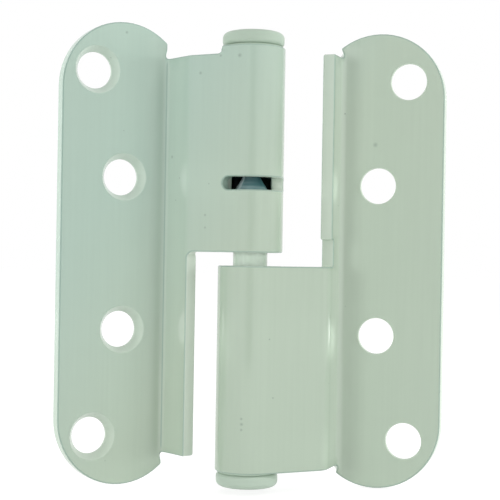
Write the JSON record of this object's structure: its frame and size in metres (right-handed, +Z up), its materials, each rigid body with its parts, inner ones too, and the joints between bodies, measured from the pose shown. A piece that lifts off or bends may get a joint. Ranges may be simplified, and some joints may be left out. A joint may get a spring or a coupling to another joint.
{
  "type": "lift-off hinge",
  "caption": "Lift-off door hinge with round-ended cranked leaves, rolled knuckles on a fixed pin, a slotted upper knuckle and plug end caps.",
  "frame": {"origin": "middle of the lower plate's seat face", "axes": "+Z up along the pin, +X out along the lower plate, -Y out of its seat face, towards the barrel"},
  "size_m": [0.0848, 0.0393, 0.1109],
  "materials": {
    "leaf_paint": "smooth pale grey paint",
    "pin_steel": "turned steel, neck painted over",
    "bush_nylon": "plain nylon",
    "plug_steel": "turned steel",
    "cap_plastic": "pale grey plastic, soft edge"
  },
  "bodies": {
    "lower": {"lower_leaf": "leaf_paint", "hinge_pin": "pin_steel", "lower_cap": "cap_plastic"},
    "bush": {"bearing_bush": "bush_nylon"},
    "upper": {"upper_leaf": "leaf_paint", "thrust_plug": "plug_steel", "upper_cap": "cap_plastic"}
  },
  "joints": [
    {"name": "lift_off", "type": "slide", "parent": "lower", "child": "bush", "axis": [0, 0, 1], "range_m": [0, 0.022]},
    {"name": "swing", "type": "hinge", "parent": "bush", "child": "upper", "pos_m": [-0.0304, -0.01515, 0], "axis": [0, 0, 1], "range_deg": [-125, 165]}
  ]
}
